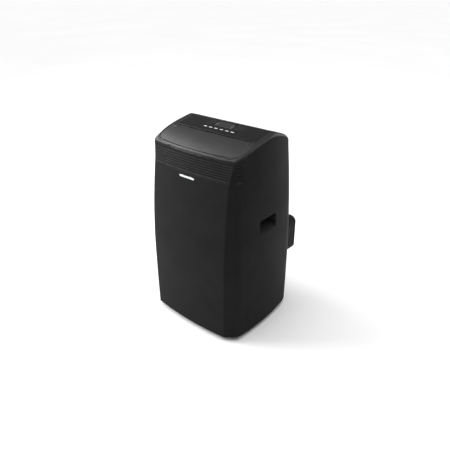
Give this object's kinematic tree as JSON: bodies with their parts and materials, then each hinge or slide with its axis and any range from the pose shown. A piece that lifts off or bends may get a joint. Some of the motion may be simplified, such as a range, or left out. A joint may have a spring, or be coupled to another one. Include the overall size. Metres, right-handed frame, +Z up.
{
  "type": "portable air conditioner",
  "caption": "Tall black portable air conditioner on casters, with a hinged top outlet flap, control keys, side grips, rear intake grilles and an exhaust hose adapter.",
  "frame": {"origin": "on the floor, under the centre of the whole object's footprint, exhaust adapter included", "axes": "+Z up, -Y is the front with the flap, +Y is the rear with the exhaust adapter, +X is the side to the right of someone facing the rear from the front"},
  "size_m": [0.4542, 0.4838, 0.764],
  "materials": {
    "cabinet_plastic": "fine satin moulded black plastic",
    "top_plastic": "satin black moulding",
    "flap_plastic": "satin black lid",
    "pocket_plastic": "moulded black pocket",
    "control_overlay": "semi-gloss black overlay",
    "display_window": "smoked display window",
    "key_caps": "dark keys with a pale marking",
    "badge_metal": "plain brushed bar",
    "adapter_plastic": "moulded black collar",
    "grille_plastic": "moulded black slats",
    "filter_mesh": "fine nylon mesh",
    "inner_plastic": "unpainted grey-black moulding",
    "fan_plastic": "moulded impeller",
    "pan_steel": "galvanised sheet",
    "caster_plastic": "black caster body",
    "caster_tread": "hard black wheel",
    "rubber": "black rubber",
    "drain_plastic": "black spout",
    "screw_steel": "zinc-plated screw",
    "coil_aluminium": "aluminium fins",
    "motor_steel": "motor can",
    "compressor_paint": "black paint",
    "copper": "bright copper pipe",
    "board": "green circuit board"
  },
  "bodies": {
    "cabinet": {"front_panel": "cabinet_plastic", "left_side_panel": "cabinet_plastic", "right_side_panel": "cabinet_plastic", "rear_panel": "cabinet_plastic", "top_cover": "top_plastic", "left_grip_pocket": "pocket_plastic", "right_grip_pocket": "pocket_plastic", "control_panel": "control_overlay", "display_lens": "display_window", "badge": "badge_metal", "exhaust_adapter": "adapter_plastic", "outlet_duct": "inner_plastic", "evaporator_blower_housing": "inner_plastic", "condenser_blower_housing": "inner_plastic", "mid_partition": "inner_plastic", "cord_hooks": "inner_plastic", "base_pan": "pan_steel", "control_box": "pan_steel", "cord_gland": "rubber", "compressor_grommets": "rubber", "drain_spouts": "drain_plastic", "casing_screws": "screw_steel", "evaporator_coil": "coil_aluminium", "condenser_coil": "coil_aluminium", "evaporator_fan_motor": "motor_steel", "condenser_fan_motor": "motor_steel", "compressor": "compressor_paint", "accumulator": "compressor_paint", "refrigerant_pipes": "copper", "circuit_board": "board", "display_board": "board"},
    "flap": {"flap": "flap_plastic"},
    "vane_1": {"vane_1": "inner_plastic"},
    "vane_2": {"vane_2": "inner_plastic"},
    "vane_3": {"vane_3": "inner_plastic"},
    "vane_4": {"vane_4": "inner_plastic"},
    "vane_5": {"vane_5": "inner_plastic"},
    "vane_link": {"vane_link": "inner_plastic"},
    "evaporator_fan": {"evaporator_fan": "fan_plastic"},
    "condenser_fan": {"condenser_fan": "fan_plastic"},
    "button_1": {"button_1": "key_caps"},
    "button_2": {"button_2": "key_caps"},
    "button_3": {"button_3": "key_caps"},
    "button_4": {"button_4": "key_caps"},
    "button_5": {"button_5": "key_caps"},
    "button_6": {"button_6": "key_caps"},
    "caster_fl": {"caster_fork_fl": "caster_plastic"},
    "wheels_fl": {"caster_wheels_fl": "caster_tread"},
    "caster_fr": {"caster_fork_fr": "caster_plastic"},
    "wheels_fr": {"caster_wheels_fr": "caster_tread"},
    "caster_rl": {"caster_fork_rl": "caster_plastic"},
    "wheels_rl": {"caster_wheels_rl": "caster_tread"},
    "caster_rr": {"caster_fork_rr": "caster_plastic"},
    "wheels_rr": {"caster_wheels_rr": "caster_tread"},
    "upper_intake": {"upper_grille": "grille_plastic", "upper_filter": "filter_mesh"},
    "upper_plug": {"upper_drain_plug": "rubber"},
    "lower_intake": {"lower_grille": "grille_plastic", "lower_filter": "filter_mesh"},
    "lower_plug": {"lower_drain_plug": "rubber"}
  },
  "joints": [
    {"name": "flap_hinge", "type": "hinge", "parent": "cabinet", "child": "flap", "pos_m": [0, -0.0846, 0.736], "axis": [-1, 0, 0], "range_deg": [0, 70]},
    {"name": "vane_1_turn", "type": "hinge", "parent": "cabinet", "child": "vane_1", "pos_m": [-0.12, -0.1431, 0.668], "axis": [0, 1, 0], "range_deg": [-25, 25]},
    {"name": "vane_2_turn", "type": "hinge", "parent": "cabinet", "child": "vane_2", "pos_m": [-0.06, -0.1431, 0.668], "axis": [0, 1, 0], "range_deg": [-25, 25]},
    {"name": "vane_3_turn", "type": "hinge", "parent": "cabinet", "child": "vane_3", "pos_m": [0, -0.1431, 0.668], "axis": [0, 1, 0], "range_deg": [-25, 25]},
    {"name": "vane_4_turn", "type": "hinge", "parent": "cabinet", "child": "vane_4", "pos_m": [0.06, -0.1431, 0.668], "axis": [0, 1, 0], "range_deg": [-25, 25]},
    {"name": "vane_5_turn", "type": "hinge", "parent": "cabinet", "child": "vane_5", "pos_m": [0.12, -0.1431, 0.668], "axis": [0, 1, 0], "range_deg": [-25, 25]},
    {"name": "vane_link_slide", "type": "slide", "parent": "cabinet", "child": "vane_link", "axis": [1, 0, 0], "range_m": [-0.0058, 0.0058]},
    {"name": "evaporator_fan_spin", "type": "hinge", "parent": "cabinet", "child": "evaporator_fan", "pos_m": [0, -0.1331, 0.505], "axis": [0, 1, 0], "continuous": true},
    {"name": "condenser_fan_spin", "type": "hinge", "parent": "cabinet", "child": "condenser_fan", "pos_m": [0.084, -0.0211, 0.215], "axis": [1, 0, 0], "continuous": true},
    {"name": "button_1_press", "type": "slide", "parent": "cabinet", "child": "button_1", "axis": [0, 0.2203, -0.9754], "range_m": [0, 0.001], "stiffness_N_per_m": 300, "springref_m": -0.0005},
    {"name": "button_2_press", "type": "slide", "parent": "cabinet", "child": "button_2", "axis": [0, 0.2203, -0.9754], "range_m": [0, 0.001], "stiffness_N_per_m": 300, "springref_m": -0.0005},
    {"name": "button_3_press", "type": "slide", "parent": "cabinet", "child": "button_3", "axis": [0, 0.2203, -0.9754], "range_m": [0, 0.001], "stiffness_N_per_m": 300, "springref_m": -0.0005},
    {"name": "button_4_press", "type": "slide", "parent": "cabinet", "child": "button_4", "axis": [0, 0.2203, -0.9754], "range_m": [0, 0.001], "stiffness_N_per_m": 300, "springref_m": -0.0005},
    {"name": "button_5_press", "type": "slide", "parent": "cabinet", "child": "button_5", "axis": [0, 0.2203, -0.9754], "range_m": [0, 0.001], "stiffness_N_per_m": 300, "springref_m": -0.0005},
    {"name": "button_6_press", "type": "slide", "parent": "cabinet", "child": "button_6", "axis": [0, 0.2203, -0.9754], "range_m": [0, 0.001], "stiffness_N_per_m": 300, "springref_m": -0.0005},
    {"name": "caster_fl_swivel", "type": "hinge", "parent": "cabinet", "child": "caster_fl", "pos_m": [-0.16, -0.1631, 0.052], "axis": [0, 0, 1], "continuous": true},
    {"name": "wheels_fl_roll", "type": "hinge", "parent": "caster_fl", "child": "wheels_fl", "pos_m": [-0.16, -0.1501, 0.02], "axis": [1, 0, 0], "continuous": true},
    {"name": "caster_fr_swivel", "type": "hinge", "parent": "cabinet", "child": "caster_fr", "pos_m": [0.16, -0.1631, 0.052], "axis": [0, 0, 1], "continuous": true},
    {"name": "wheels_fr_roll", "type": "hinge", "parent": "caster_fr", "child": "wheels_fr", "pos_m": [0.16, -0.1501, 0.02], "axis": [1, 0, 0], "continuous": true},
    {"name": "caster_rl_swivel", "type": "hinge", "parent": "cabinet", "child": "caster_rl", "pos_m": [-0.152, 0.1009, 0.052], "axis": [0, 0, 1], "continuous": true},
    {"name": "wheels_rl_roll", "type": "hinge", "parent": "caster_rl", "child": "wheels_rl", "pos_m": [-0.152, 0.1139, 0.02], "axis": [1, 0, 0], "continuous": true},
    {"name": "caster_rr_swivel", "type": "hinge", "parent": "cabinet", "child": "caster_rr", "pos_m": [0.152, 0.1009, 0.052], "axis": [0, 0, 1], "continuous": true},
    {"name": "wheels_rr_roll", "type": "hinge", "parent": "caster_rr", "child": "wheels_rr", "pos_m": [0.152, 0.1139, 0.02], "axis": [1, 0, 0], "continuous": true},
    {"name": "upper_intake_pull", "type": "slide", "parent": "cabinet", "child": "upper_intake", "axis": [0, 1, 0], "range_m": [0, 0.03]},
    {"name": "upper_plug_pull", "type": "slide", "parent": "cabinet", "child": "upper_plug", "axis": [0, 1, 0], "range_m": [0, 0.025]},
    {"name": "lower_intake_pull", "type": "slide", "parent": "cabinet", "child": "lower_intake", "axis": [0, 1, 0], "range_m": [0, 0.03]},
    {"name": "lower_plug_pull", "type": "slide", "parent": "cabinet", "child": "lower_plug", "axis": [0, 1, 0], "range_m": [0, 0.025]}
  ],
  "couplings": [
    {"joint": "vane_2_turn", "follows": "vane_1_turn", "ratio": 1},
    {"joint": "vane_3_turn", "follows": "vane_1_turn", "ratio": 1},
    {"joint": "vane_4_turn", "follows": "vane_1_turn", "ratio": 1},
    {"joint": "vane_5_turn", "follows": "vane_1_turn", "ratio": 1},
    {"joint": "vane_link_slide", "follows": "vane_1_turn", "m_per_rad": -0.013}
  ]
}
